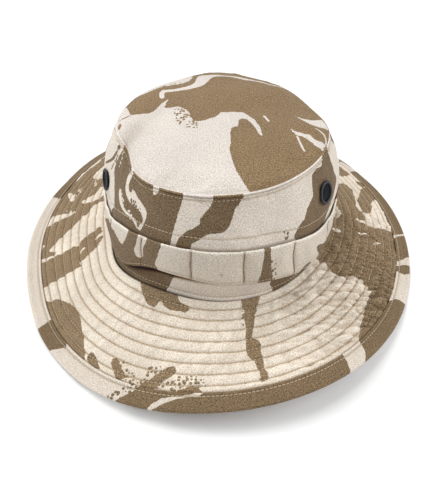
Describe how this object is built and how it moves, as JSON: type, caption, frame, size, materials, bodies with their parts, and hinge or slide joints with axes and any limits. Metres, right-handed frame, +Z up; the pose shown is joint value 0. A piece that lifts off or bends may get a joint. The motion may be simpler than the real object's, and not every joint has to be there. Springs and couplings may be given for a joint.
{
  "type": "bush hat",
  "caption": "Soft cloth hat with a domed crown, screened vents, a stitched loop band and a wide quilted brim with a bound edge, in a desert pattern.",
  "frame": {"origin": "middle of the hat's outline seen from above, on the surface that the brim rests on", "axes": "+Z up through the crown, +Y towards the back of the hat along its longer way, +X towards the wearer's left"},
  "size_m": [0.3138, 0.3458, 0.1152],
  "materials": {
    "patterned_cloth": "matt cotton ripstop twill, pale sand printed with khaki brown patches",
    "vent_enamel": "dark navy-black enamel, satin, slightly rubbed on the rim",
    "vent_mesh": "fine woven wire screen, dark and matt"
  },
  "bodies": {
    "root": {"crown_top": "patterned_cloth", "crown_side": "patterned_cloth", "loop_band": "patterned_cloth", "brim": "patterned_cloth", "brim_binding": "patterned_cloth", "vent_rim_left": "vent_enamel", "vent_rim_right": "vent_enamel", "vent_screen_left": "vent_mesh", "vent_screen_right": "vent_mesh"}
  },
  "joints": []
}
